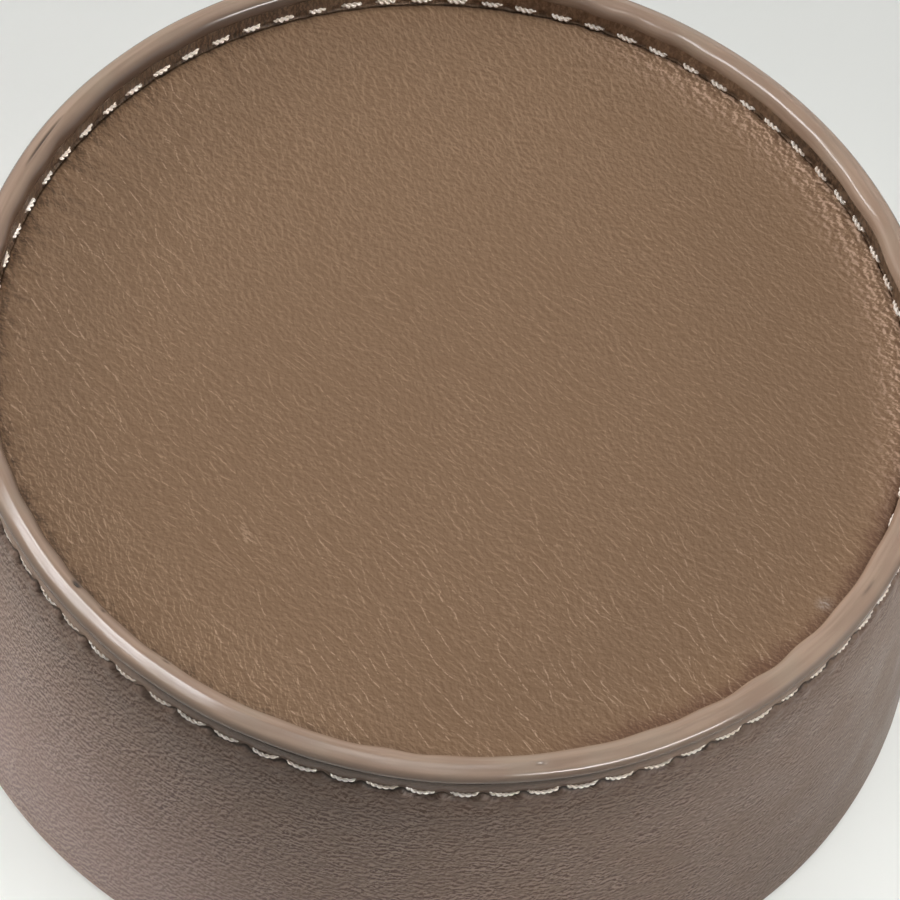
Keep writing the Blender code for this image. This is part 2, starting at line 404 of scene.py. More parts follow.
def disc_height(points, inset, angle):
    """Height of the base leather: uneven, with a folded edge that swells at the right and dips elsewhere."""
    uneven = 0.07 * MM * lumps(points, 15 * MM, 1) + 0.02 * MM * lumps(points, 4 * MM, 2)
    right = side_share(angle, RIGHT_SIDE)
    swell = (0.08 + 0.34 * right) * MM * np.exp(-((inset / (2.4 * MM)) ** 2))
    width = 0.35 * MM + np.abs(ripple(angle, 21, 6, 60, 0.25 * MM))
    dip = (0.16 - 0.14 * right) * MM * np.exp(-((inset / width) ** 1.6))
    folds = ripple(angle, 22, 60, 230, 0.05 * MM) * np.exp(-inset / (0.9 * MM))
    near_edge = np.exp(-((inset / (2.6 * MM)) ** 2))
    pebble = (0.03 + 0.05 * right) * MM * lumps(points, 0.8 * MM, 4) * near_edge
    return DISC_TOP + uneven + swell - dip + folds + pebble


def flange_rows():
    """Radius and height of the flange above the disc's edge, over its top and down its hidden side."""
    foot = (FLANGE_INNER - 0.05 * MM, DISC_TOP + 0.06 * MM)
    inside = spread([foot, (FLANGE_INNER, HEIGHT - COAT_BOTTOM)], 0.14 * MM)
    hidden = [
        (FLANGE_OUTER, HEIGHT - COAT_BOTTOM),
        (FLANGE_OUTER, DISC_BOTTOM + 1.0 * MM),
        (FLANGE_OUTER - 0.3 * MM, DISC_BOTTOM + 0.3 * MM),
        (FLANGE_OUTER - 1.0 * MM, DISC_BOTTOM),
    ]
    return np.concatenate([inside, np.array(hidden)]), len(inside)


def front_reach(angle):
    """How far the painted shade at the disc's edge reaches in, which is more in front."""
    return np.clip(-2.4 * np.sin(angle) - 1.1, 0.0, None) * MM


def disc_edge_shade(angle, inset):
    """Painted shade along the disc's edge under the rim: deepest and ragged at the left, and none at the
    right.
    """
    right = side_share(angle, RIGHT_SIDE)
    left = side_share(angle, LEFT_EDGE_SHADE)
    back_left = toward(angle, BACK_LEFT, 0.75, 0.95)
    width = 0.40 * MM + (0.3 * left + back_left) * np.abs(ripple(angle, 25, 40, 200, 1.9 * MM))
    left_reach = 0.7 * MM * toward(angle, DEEP_EDGE_SHADE, 0.75, 0.97)
    edge_shade = np.exp(-((np.clip(inset - front_reach(angle) - left_reach, 0.0, None) / width) ** 1.3))
    return edge_shade * (0.28 + 0.52 * left - 0.28 * right)


def disc_marks(angle, inset, from_scuff):
    """Other marks on the disc, by name. from_scuff is each point's distance from the scuff."""
    rough = toward(angle, SPECKLED_EDGE, 0.60, 0.92) * np.exp(-((inset / (2.8 * MM)) ** 2))
    # A dark band at the front-right edge: puckers darkened with painted shade from the rim.
    ragged = 1.2 * MM + np.abs(ripple(angle, 24, 10, 60, 0.5 * MM))
    pucker_shade = np.exp(-((np.clip(inset - front_reach(angle), 0.0, None) / ragged) ** 3))
    pucker_shade = pucker_shade * toward(angle, SHADED_PUCKERED_EDGE, 0.78, 0.93)
    wrinkled = side_share(angle, WRINKLED_DISC) * np.exp(-((inset / (9.0 * MM)) ** 2))
    scuff = bell(from_scuff, 0.55 * MM)
    return {"rough_edge": rough, "pucker_shade": pucker_shade, "scuff": scuff, "wrinkled": wrinkled}


def build_base():
    """Base leather: one piece from the disc, over the puckered edge and up the flange."""
    ring, angle = disc_angles(DISC_RINGS)
    edge_radius = FLANGE_INNER - 0.15 * MM
    radius = edge_radius * ring / DISC_RINGS
    inset = edge_radius - radius
    flat = turn(angle, radius, np.full_like(radius, DISC_TOP))
    flat[:, 2] = disc_height(flat, inset, angle)

    rows, shown = flange_rows()
    columns = column_angles()
    hole = hole_distance(columns, INNER_STITCH_ANGLE, FLANGE_INNER)[None, :]
    row_radius = rows[:, :1] + np.zeros((1, COLUMNS))
    climb = np.clip((rows[:, 1:] - DISC_TOP) / (HEIGHT - COAT_BOTTOM - DISC_TOP), 0.0, 1.0)
    row_height = rows[:, 1:] + (flat[-COLUMNS:, 2] - DISC_TOP)[None, :] * (1.0 - climb)
    seam = bell(row_height - HEIGHT + SEAM_DEPTH, 0.5 * MM)
    prick = bell(hole, 0.34 * MM) * bell(row_height - HEIGHT + SEAM_DEPTH - 0.15 * MM, 0.3 * MM)
    bulge = ripple(columns, 23, 20, 90, 0.06 * MM)[None, :] * seam
    row_radius[:shown] += (0.06 * MM * seam + 0.10 * MM * prick + bulge)[:shown]
    flange = turn(columns, row_radius, row_height).reshape(-1, 3)

    inner_count = len(flat)
    outer_ring = inner_count - COLUMNS
    starts = [outer_ring] + [inner_count + COLUMNS * k for k in range(len(rows))]
    column = np.arange(COLUMNS)
    after = (column + 1) % COLUMNS
    bands = [
        np.stack([a + column, a + after, b + after, b + column], axis=-1)
        for a, b in zip(starts, starts[1:])
    ]
    middle = inner_count + len(flange)
    cap = [(int(starts[-1] + a), int(starts[-1] + b), middle) for a, b in zip(column, after)]
    vertices = np.concatenate([flat, flange, [[0.0, 0.0, DISC_BOTTOM]]])
    faces = disc_faces(DISC_RINGS).tolist() + np.concatenate(bands).tolist() + cap
    base = new_piece("base_leather", vertices.tolist(), faces)

    # The flange is lighter at the back: less painted shade and a lighter colour there.
    lighter_flange = toward(columns, LIGHTER_FLANGE, 0.76, 0.97)[None, :]
    bare = toward(columns, 0.0, 0.85, 0.98)
    # Painted shade on the flange in the recess and at its needle holes, less at the right and the back.
    low_flange = np.clip(0.90 - 0.35 * bare - 0.55 * lighter_flange + 0.3 * prick, 0.0, 1.0)
    low_flange = low_flange + np.zeros_like(row_radius)
    low_flange[shown:] = 0.0
    pale = lighter_flange + np.zeros_like(row_radius)
    add_mark(base, "painted_shade", np.concatenate([disc_edge_shade(angle, inset), low_flange.ravel(), [0.0]]))
    add_mark(base, "lighter_flange", np.concatenate([np.zeros(inner_count), pale.ravel(), [0.0]]))
    scuff_at = turn(math.radians(SCUFF), edge_radius - 1.5 * MM, 0.0)
    away = np.hypot(flat[:, 0] - scuff_at[0], flat[:, 1] - scuff_at[1])
    for name, values in disc_marks(angle, inset, away).items():
        add_mark(base, name, np.concatenate([values, np.zeros(len(flange) + 1)]))
    return base


# The rim's edge coat

def coat_section():
    """The coat's section as (distance in from the rim's outer line, depth below the crest).

    It runs from the outer underside up the side, over a bevel to the crest and down the inner slope.
    """
    line = [
        (0.16 * MM, COAT_BOTTOM),
        (0.0, COAT_SIDE),
        (0.12 * MM, 0.90 * MM),
        (0.30 * MM, 0.66 * MM),
        (0.45 * MM, 0.52 * MM),
        (COAT_PEAK - 0.14 * MM, 0.05 * MM),
        (COAT_PEAK, 0.0),
        (COAT_PEAK + 0.12 * MM, 0.01 * MM),
        (1.65 * MM, 0.07 * MM),
        (2.02 * MM, 0.22 * MM),
        (2.38 * MM, 0.52 * MM),
        (COAT_WIDTH, COAT_SIDE),
        (COAT_WIDTH, COAT_BOTTOM),
    ]
    return spread(round_off(line, 3), 0.07 * MM)


def nick(angle, middle, half_length, inset, at, half_width):
    """A mark on the coat: 1 in its middle, falling to 0 at its ends and sides."""
    along = ((angle - math.radians(middle) + math.pi) % math.tau - math.pi) * RIM_RADIUS
    ends = np.clip(1.0 - (along / half_length) ** 2, 0.0, 1.0)
    return ends[None, :] * bell(inset - at, half_width)[:, None]


def coat_nicks(angle, inset):
    """The coat's slit and small chips, which are sunk and dark."""
    slit = nick(angle, 158.8, 3.8 * MM, inset, 1.30 * MM, 0.10 * MM)
    chip = 1.3 * nick(angle, 226.3, 0.62 * MM, inset, 1.95 * MM, 0.26 * MM)
    specks = 0.7 * nick(angle, 231.0, 0.3 * MM, inset, 2.05 * MM, 0.15 * MM)
    specks = specks + 0.6 * nick(angle, 241.0, 0.5 * MM, inset, 2.10 * MM, 0.12 * MM)
    specks = specks + 0.45 * nick(angle, 334.5, 1.2 * MM, inset, 1.20 * MM, 0.10 * MM)
    specks = specks + 0.35 * nick(angle, 287.0, 0.5 * MM, inset, 1.10 * MM, 0.12 * MM)
    specks = specks + 0.5 * nick(angle, 52.0, 0.9 * MM, inset, 0.70 * MM, 0.10 * MM)
    return np.clip(slit + chip + specks, 0.0, 1.0)


def build_coat():
    """Glossy edge coat on the rim: brushed on by hand, so its width, height and line waver."""
    angle = column_angles()
    section = coat_section()
    inset = section[:, :1]
    depth = section[:, 1:]
    marks = coat_nicks(angle, section[:, 0])
    top = smooth_step(COAT_SIDE - depth, 0.0, COAT_SIDE)
    inner = smooth_step(inset, COAT_PEAK, COAT_WIDTH)
    outer_wave = ripple(angle, 31, 3, 30, 0.025 * MM)[None, :]
    inner_wave = ripple(angle, 33, 18, 60, 0.07 * MM)[None, :]
    lift = ripple(angle, 32, 3, 20, 0.03 * MM)[None, :] - 0.03 * MM
    radius = RIM_RADIUS - inset + outer_wave * (1.0 - inner) + inner_wave * inner
    height = HEIGHT - depth + lift * top - 0.20 * MM * marks
    points = turn(angle, radius, height)
    bumps = lumps(points, 2.2 * MM, 6) * 0.008 * MM
    points[..., 2] += bumps * top
    coat = ring_piece("rim_edge", points)
    add_mark(coat, "nick", marks)
    # Painted shade on the coat: down its outer side, on its inner slope at the left, and a little at the
    # back left.
    outside = 1.0 - smooth_step(inset, 0.30 * MM, COAT_PEAK)
    coat_shade = outside * smooth_step(depth, 0.36 * MM, 1.0 * MM)
    inner_left = smooth_step(inset, 1.6 * MM, 2.6 * MM) * side_share(angle, SHADED_COAT)[None, :]
    add_mark(coat, "coat_shade", coat_shade + 1.3 * inner_left + 0.2 * side_share(angle, BACK_LEFT)[None, :])
    return coat


# The stitches

def strand(centre, outward, phase, gauge):
    """One ply of a stitch: a tube that twists round the stitch's line. Returns points[along][side].

    gauge scales the ply's thickness.
    """
    tangent = np.gradient(centre, axis=0)
    tangent /= np.linalg.norm(tangent, axis=1, keepdims=True)
    side = np.cross(tangent, outward)
    side /= np.linalg.norm(side, axis=1, keepdims=True)
    normal = np.cross(side, tangent)
    length = np.concatenate([[0.0], np.cumsum(np.linalg.norm(np.diff(centre, axis=0), axis=1))])
    twist = (phase + math.tau * length / PLY_TWIST)[:, None]
    core = centre + gauge * PLY_OFFSET * (np.cos(twist) * normal + np.sin(twist) * side)
    around = math.tau * np.arange(STRAND_SIDES) / STRAND_SIDES
    spokes = np.cos(around)[None, :, None] * normal[:, None] + np.sin(around)[None, :, None] * side[:, None]
    taper = 1.0 - 0.35 * np.linspace(-1.0, 1.0, STRAND_POINTS) ** 4
    return core[:, None] + gauge * PLY_RADIUS * taper[:, None, None] * spokes


def stitch_line(middle, length, sag, radius, depth, inward, tilt):
    """Centre line of one stitch, hanging between two needle holes and diving in at both ends."""
    share = np.linspace(-1.0, 1.0, STRAND_POINTS)
    angle = middle + share * length / 2 / radius
    dive = smooth_step(np.abs(share), 0.72, 1.0)
    reach = radius + inward * (STITCH_DIP * share ** 2 + 0.55 * MM * dive)
    height = HEIGHT - depth + sag * share ** 2 + tilt * share
    return turn(angle, reach, height), turn(angle, np.ones_like(angle), np.zeros_like(angle))


def stitch_shade_and_sink(middle):
    """How much an outer stitch is dimmed with painted shade and sunk: most at the left, half as much at the
    right.
    """
    left = bell(math.remainder(middle - SHADED_SUNK_STITCHES, math.tau), 0.32)
    right = bell(math.remainder(middle - SUNK_STITCHES, math.tau), 0.40)
    return float(max(left, 0.5 * right))


def stitch_sink(middle):
    """How far an inner stitch is pulled into the flange, at the right end of the part that shows."""
    return 0.16 * MM * float(bell(math.remainder(middle - HIDDEN_STITCHES, math.tau), 0.12))


def build_stitches(name, seed, first, radius, depth, inward, share, sag, gauge):
    """All the stitches of one thread. inward is -1 outside the rim and 1 inside the recess."""
    random = np.random.default_rng(seed)
    vertices, faces, thread_shade = [], [], []
    along, side = np.meshgrid(np.arange(STRAND_POINTS - 1), np.arange(STRAND_SIDES), indexing="ij")
    after = (side + 1) % STRAND_SIDES
    corners = [along * STRAND_SIDES + side, along * STRAND_SIDES + after]
    corners += [(along + 1) * STRAND_SIDES + after, (along + 1) * STRAND_SIDES + side]
    quads = np.stack(corners, axis=-1).reshape(-1, 4)
    last_ring = (STRAND_POINTS - 1) * STRAND_SIDES
    ends = [list(range(STRAND_SIDES))[::-1], [last_ring + k for k in range(STRAND_SIDES)]]
    for number in range(STITCHES):
        length = PITCH * radius * share * random.uniform(0.88, 1.10)
        hang = sag * random.uniform(0.8, 1.2)
        tilt = random.normal() * 0.05 * MM
        middle = first + number * PITCH + random.normal() * 0.025 * PITCH
        shade_and_sink = stitch_shade_and_sink(middle) if inward < 0 else 0.0
        sunk = stitch_sink(middle) if inward > 0 else -0.18 * MM * shade_and_sink
        lift = random.normal() * 0.03 * MM + sunk
        line, outward = stitch_line(middle, length, hang, radius + lift, depth, inward, tilt)
        phase = random.uniform(0, math.tau)
        for ply in range(PLIES):
            points = strand(line, -inward * outward, phase + ply * math.tau / PLIES, gauge)
            offset = len(vertices) * STRAND_POINTS * STRAND_SIDES
            vertices.append(points.reshape(-1, 3))
            faces += (quads + offset).tolist()
            faces += [[index + offset for index in end] for end in ends]
            # The mark darkens the thread: painted shade where each ply dives into its hole, and over the
            # dimmed stitches.
            end = np.abs(np.linspace(-1, 1, STRAND_POINTS))
            thread_shade.append(np.repeat(np.maximum(end, 0.95 * shade_and_sink), STRAND_SIDES))
    stitches = new_piece(name, np.concatenate(vertices).tolist(), faces)
    add_mark(stitches, "end", np.concatenate(thread_shade))
    return stitches


# The inside

def build_wall_lining():
    """Lining of the wall, with a soft unevenness where it is glued down."""
    angle = column_angles()[::4]
    widening = MOUTH_RADIUS - SHOULDER_RADIUS
    top_radius = LINING_RADIUS - widening * (LINING_HIGH - LINING_LOW) / (HEIGHT - SHOULDER_DEPTH)
    outer = spread([(top_radius, LINING_HIGH), (LINING_RADIUS, LINING_LOW)], 1.0 * MM)
    inner = outer[::-1] - [LINING, 0.0]
    rounded = inner[0] + [LINING / 2, -LINING / 3]
    line = np.concatenate([outer, [rounded], inner])
    radius = line[:, :1] + np.zeros((1, len(angle)))
    height = line[:, 1:] + np.zeros((1, len(angle)))
    points = turn(angle, radius, height)
    shown = len(outer) + 1
    dents = lumps(points[shown:], 9 * MM, 8) * 0.06 * MM
    points[shown:] += turn(angle, dents, np.zeros_like(dents))
    return ring_piece("lining_wall", points)


def build_floor_lining():
    """Lining disc on the cup's inner floor."""
    rings = 60
    ring, angle = disc_angles(rings)
    radius = FLOOR_RADIUS * ring / rings
    lower = turn(angle, radius, np.full_like(radius, FLOOR_LOW))
    lower[:, 2] += 0.05 * MM * lumps(lower, 8 * MM, 9)
    upper = turn(angle, radius, np.full_like(radius, FLOOR_HIGH))
    count = len(ring)
    rim = count - 8 * rings + np.arange(8 * rings)
    after = np.roll(rim, -1)
    side = np.stack([rim, after, after + count, rim + count], axis=-1)
    faces = np.concatenate([disc_faces(rings)[:, ::-1], disc_faces(rings) + count, side])
    return new_piece("lining_floor", np.concatenate([lower, upper]).tolist(), faces.tolist())


# Materials

class Graph:
    """A material's nodes, with a short way to add and link them."""

    def __init__(self, name):
        self.material = bpy.data.materials.new(name)
        self.material.use_nodes = True
        self.tree = self.material.node_tree
        self.shader = self.tree.nodes["Principled BSDF"]

    def add(self, kind, inputs=None, **settings):
        """Adds a node. An input is a value, or the socket that it is linked from."""
        node = self.tree.nodes.new("ShaderNode" + kind)
        for name, value in settings.items():
            setattr(node, name, value)
        for name, value in (inputs or {}).items():
            self.put(node.inputs[name], value)
        return node

    def put(self, socket, value):
        if isinstance(value, bpy.types.NodeSocket):
            self.tree.links.new(value, socket)
        else:
            socket.default_value = value

    def math(self, operation, *values):
        node = self.add("Math", operation=operation)
        for socket, value in zip(node.inputs, values):
            self.put(socket, value)
        return node.outputs[0]

    def ramp(self, value, low, high, start=0.0, end=1.0):
        """Maps a value from one range to another, smoothly and clamped."""
        inputs = {"Value": value, "From Min": low, "From Max": high, "To Min": start, "To Max": end}
        return self.add("MapRange", inputs, interpolation_type="SMOOTHSTEP").outputs["Result"]

    def mix(self, share, first, second, blend="MIX"):
        """Mixes two colours."""
        node = self.add("Mix", data_type="RGBA", blend_type=blend)
        self.put(node.inputs["Factor"], share)
        self.put(node.inputs["A"], first)
        self.put(node.inputs["B"], second)
        return node.outputs["Result"]

    def cover(self, colour, share, strength, layer):
        """Mixes a layer's colour over another, by a share of the layer's strength."""
        return self.mix(self.math("MULTIPLY", share, strength), colour, layer)

    def scale(self, colour, factor):
        """Makes a colour lighter or darker."""
        node = self.add("VectorMath", {"Scale": factor}, operation="SCALE")
        self.put(node.inputs[0], colour)
        return node.outputs[0]

    def noise(self, vector, scale, detail=2.0, roughness=0.5):
        inputs = {"Vector": vector, "Scale": scale, "Detail": detail, "Roughness": roughness}
        return self.add("TexNoise", inputs).outputs["Fac"]

    def cells(self, vector):
        """Distance to the edge of the nearest random cell, in a pattern of about one cell a unit."""
        inputs = {"Vector": vector, "Scale": 1.0}
        return self.add("TexVoronoi", inputs, feature="DISTANCE_TO_EDGE").outputs["Distance"]

    def pebbles(self, vector):
        """Distance to the middle of the nearest random cell, rounded, at about one cell a unit."""
        inputs = {"Vector": vector, "Scale": 1.0, "Smoothness": 0.4}
        return self.add("TexVoronoi", inputs, feature="SMOOTH_F1").outputs["Distance"]

    def place(self, vector, scale=(1.0, 1.0, 1.0), turn_z=0.0):
        inputs = {"Vector": vector, "Scale": scale, "Rotation": (0.0, 0.0, turn_z)}
        return self.add("Mapping", inputs).outputs["Vector"]

    def millimetres(self):
        """The object's own coordinates in millimetres."""
        return self.place(self.add("TexCoord").outputs["Object"], (PER_MM, PER_MM, PER_MM))

    def warp(self, vector, scale, amount):
        """Moves coordinates about by a soft noise."""
        wobble = self.add("TexNoise", {"Vector": vector, "Scale": scale, "Detail": 1.0}).outputs["Color"]
        centred = self.add("VectorMath", operation="SUBTRACT")
        self.put(centred.inputs[0], wobble)
        centred.inputs[1].default_value = (0.5, 0.5, 0.5)
        moved = self.add("VectorMath", operation="MULTIPLY_ADD")
        self.put(moved.inputs[0], centred.outputs[0])
        moved.inputs[1].default_value = (amount, amount, amount)
        self.put(moved.inputs[2], vector)
        return moved.outputs[0]

    def lit(self, vector, step, height):
        """Painted lit and shaded sides of a fine relief, used as colour: how much height(place) rises over a
        step.
        """
        ends = []
        for way in (1.0, -1.0):
            moved = self.add("VectorMath", operation="ADD")
            self.put(moved.inputs[0], vector)
            moved.inputs[1].default_value = (way * step[0], way * step[1], 0.0)
            ends.append(height(moved.outputs[0]))
        return self.math("SUBTRACT", *ends)

    def mark(self, name):
        return self.add("Attribute", attribute_name=name).outputs["Fac"]

    def bump(self, height, depth):
        """Sets the surface's relief: height from 0 to 1 stands for a depth in metres."""
        node = self.add("Bump", {"Height": height, "Strength": 1.0, "Distance": depth})
        self.put(self.shader.inputs["Normal"], node.outputs["Normal"])

    def finish(self, colour, roughness, specular=0.5):
        self.put(self.shader.inputs["Base Color"], colour)
        self.put(self.shader.inputs["Roughness"], roughness)
        self.shader.inputs["Specular IOR Level"].default_value = specular
        return self.material


def tint(red, green, blue):
    """A linear colour from the 0 to 255 values that a screen shows."""
    values = [channel / 255 for channel in (red, green, blue)]
    linear = [v / 12.92 if v <= 0.04045 else ((v + 0.055) / 1.055) ** 2.4 for v in values]
    return (*linear, 1.0)


PER_MM = 1000.0


def base_leather_material():
    """Smooth brown leather: fine slanting crinkles, with longer creases at the left and in front, drawn as
    painted lit and shaded sides.
    """
    g = Graph("base_leather")
    place = g.add("TexCoord").outputs["Object"]
    slanted = g.warp(g.place(place, (PER_MM, PER_MM, PER_MM), math.radians(36)), 0.11, 1.8)
    steep = g.warp(g.place(place, (PER_MM, PER_MM, PER_MM), math.radians(50)), 0.3, 1.5)
    upright = g.warp(g.place(place, (PER_MM, PER_MM, PER_MM), math.radians(64)), 0.5, 0.9)
    level = g.place(place, (1.5 * PER_MM, 1.5 * PER_MM, PER_MM), math.radians(22))
    cloud = g.noise(slanted, 0.24, 2.0)
    patch = g.noise(slanted, 0.55, 1.0)

    def pores(at):
        return g.noise(g.place(at, (1.9, 2.5, 1.0)), 1.0, 3.0, 0.6)

    def lumps_at(at):
        return g.noise(g.place(at, (1.4, 1.9, 1.0)), 1.0, 3.0, 0.6)

    def wrinkle(at):
        return g.ramp(g.cells(g.place(at, (0.30, 1.3, 1.0))), 0.0, 0.12)

    def pleat(at):
        return g.ramp(g.cells(g.place(at, (0.36, 1.9, 1.0))), 0.0, 0.16)

    def dash(at):
        return g.noise(g.place(at, (0.9, 2.6, 1.0)), 1.0, 2.0)

    def fold(at):
        return g.ramp(g.cells(g.place(at, (0.15, 0.7, 1.0))), 0.0, 0.10)

    axes = g.add("SeparateXYZ", {"Vector": place})
    grain = g.lit(slanted, (0.0, 0.07), pores)
    grain = g.math("MULTIPLY", grain, g.ramp(axes.outputs["Y"], 0.0, 0.035, 1.0, 1.5))
    crinkle = g.ramp(g.lit(g.warp(slanted, 0.8, 0.4), (0.0, 0.05), wrinkle), 0.05, 0.7)
    parallel = g.ramp(g.lit(g.warp(upright, 0.3, 0.8), (0.0, 0.05), pleat), 0.05, 0.7)
    crossing = g.ramp(g.lit(g.warp(level, 0.5, 0.8), (0.0, 0.05), fold), 0.1, 0.7)
    crease = g.ramp(g.lit(steep, (0.0, 0.05), fold), 0.1, 0.7)
    forward = g.math("SUBTRACT", g.math("MULTIPLY", axes.outputs["X"], 0.20), axes.outputs["Y"])
    wrinkled = g.mark("wrinkled")
    leftward = g.ramp(axes.outputs["X"], -0.010, -0.036, 0.0, 0.8)
    creased = g.math("MAXIMUM", g.ramp(forward, -0.005, 0.045, 0.10, 0.9), leftward)
    creased = g.math("MULTIPLY", creased, g.ramp(cloud, 0.38, 0.56, 0.1, 1.0))
    crease = g.math("MULTIPLY", g.math("MULTIPLY", crease, creased), g.ramp(grain, -0.15, 0.15))
    behind = g.math("SUBTRACT", axes.outputs["Y"], g.math("MULTIPLY", axes.outputs["X"], 0.7))
    rear = g.ramp(behind, 0.0, 0.030)
    dashes = g.ramp(g.lit(upright, (0.0, 0.07), dash), 0.0, 0.22)
    parallel = g.math("MULTIPLY", parallel, g.ramp(rear, 0.0, 1.0, 1.0, 0.15))
    crinkle = g.math("MULTIPLY", crinkle, g.math("ADD", leftward, g.ramp(rear, 0.0, 1.0, 1.2, 0.7)))
    patchy = g.ramp(patch, 0.38, 0.62, 0.15, 1.0)
    crinkled = g.math("MULTIPLY", patchy, g.ramp(wrinkled, 0.0, 0.6, 0.45, 0.25))
    crossing = g.math("MULTIPLY", crossing, g.ramp(patch, 0.40, 0.62, 0.45, 0.05))
    crinkle = g.math("MAXIMUM", g.math("MULTIPLY", crinkle, crinkled), crossing)
    pleated = g.math("MULTIPLY", parallel, g.ramp(wrinkled, 0.1, 0.7, 0.0, 0.70))
    crinkle = g.math("MAXIMUM", crinkle, pleated)
    crinkle = g.math("MULTIPLY", crinkle, g.ramp(grain, -0.14, 0.10, 0.2, 1.0))
    crinkle = g.math("MAXIMUM", crinkle, g.math("MULTIPLY", dashes, g.math("MULTIPLY", rear, 0.42)))
    edge = g.mark("rough_edge")
    lumpy = g.lit(slanted, (0.05, 0.10), lumps_at)
    # Painted glints on the lit sides of the lumps at the rough right edge, and painted shade on their other
    # sides.
    lump_glint = g.math("MULTIPLY", edge, g.ramp(lumpy, -0.02, 0.16, 0.0, 0.75))
    lump_shade = g.math("MULTIPLY", edge, g.ramp(lumpy, -0.16, 0.0, 0.6, 0.0))
    # Painted lit and shaded sides of the pores.
    colour = g.mix(g.ramp(grain, -0.25, 0.25), tint(107, 83, 62), tint(132, 106, 84))
    colour = g.mix(g.ramp(cloud, 0.35, 0.65, 0.0, 0.25), colour, tint(117, 92, 70))
    # Painted lit sides of the crinkles and creases, in pale colour.
    colour = g.mix(crinkle, colour, tint(165, 138, 113))
    colour = g.cover(colour, crease, 0.90, tint(188, 160, 136))
    # Puckers at the front-right edge, dark with painted shade.
    colour = g.cover(colour, g.mark("pucker_shade"), g.ramp(grain, -0.14, 0.14, 0.90, 0.50), tint(88, 61, 48))
    colour = g.cover(colour, g.mark("scuff"), g.ramp(grain, -0.10, 0.10, 0.2, 0.9), tint(154, 141, 131))
    colour = g.mix(lump_glint, colour, tint(202, 170, 148))
    colour = g.mix(lump_shade, colour, tint(88, 62, 48))
    ragged = g.ramp(g.noise(g.place(upright, (0.6, 1.6, 1.0)), 1.0, 2.0), 0.36, 0.64, 0.35, 1.25)
    ragged = g.ramp(wrinkled, 0.3, 0.9, 1.0, ragged)
    # Painted shade at the disc's edge and on the flange, broken up by the grain and ragged among the
    # wrinkles.
    shade = g.math("MULTIPLY", g.mark("painted_shade"), g.ramp(grain, -0.14, 0.14, 0.85, 0.50))
    shade = g.math("MULTIPLY", shade, ragged)
    colour = g.mix(shade, colour, tint(44, 30, 21))
    # Lighter flange at the back.
    colour = g.scale(colour, g.ramp(g.mark("lighter_flange"), 0.0, 1.0, 1.0, 1.45))
    relief = g.math("ADD", pores(slanted), g.math("MULTIPLY", wrinkle(slanted), -0.3))
    g.bump(relief, 0.02 * MM)
    return g.finish(colour, g.ramp(cloud, 0.3, 0.7, 0.42, 0.52), 0.25)


def seam_crease_shade(g, wrap):
    """Painted shade in the crease under the outer stitches, which rises between them to meet the needle
    holes.
    """
    axes = g.add("SeparateXYZ", {"Vector": wrap})
    first_hole = ((OUTER_STITCH_ANGLE - LAP_ANGLE) / PITCH + 0.5) % 1.0
    turns = g.math("SUBTRACT", g.math("DIVIDE", axes.outputs["X"], PITCH * RIM_RADIUS), first_hole)
    to_hole = g.math("ABSOLUTE", g.math("SUBTRACT", g.math("FRACT", g.math("ADD", turns, 0.5)), 0.5))
    rise = g.ramp(to_hole, 0.0, RISE_SHARE, SEAM_RISE, 0.0)
    line = g.math("SUBTRACT", CREASE_DEPTH, rise)
    away = g.math("ABSOLUTE", g.math("SUBTRACT", axes.outputs["Y"], line))
    return g.ramp(away, 0.02 * MM, 0.17 * MM, 1.0, 0.0)


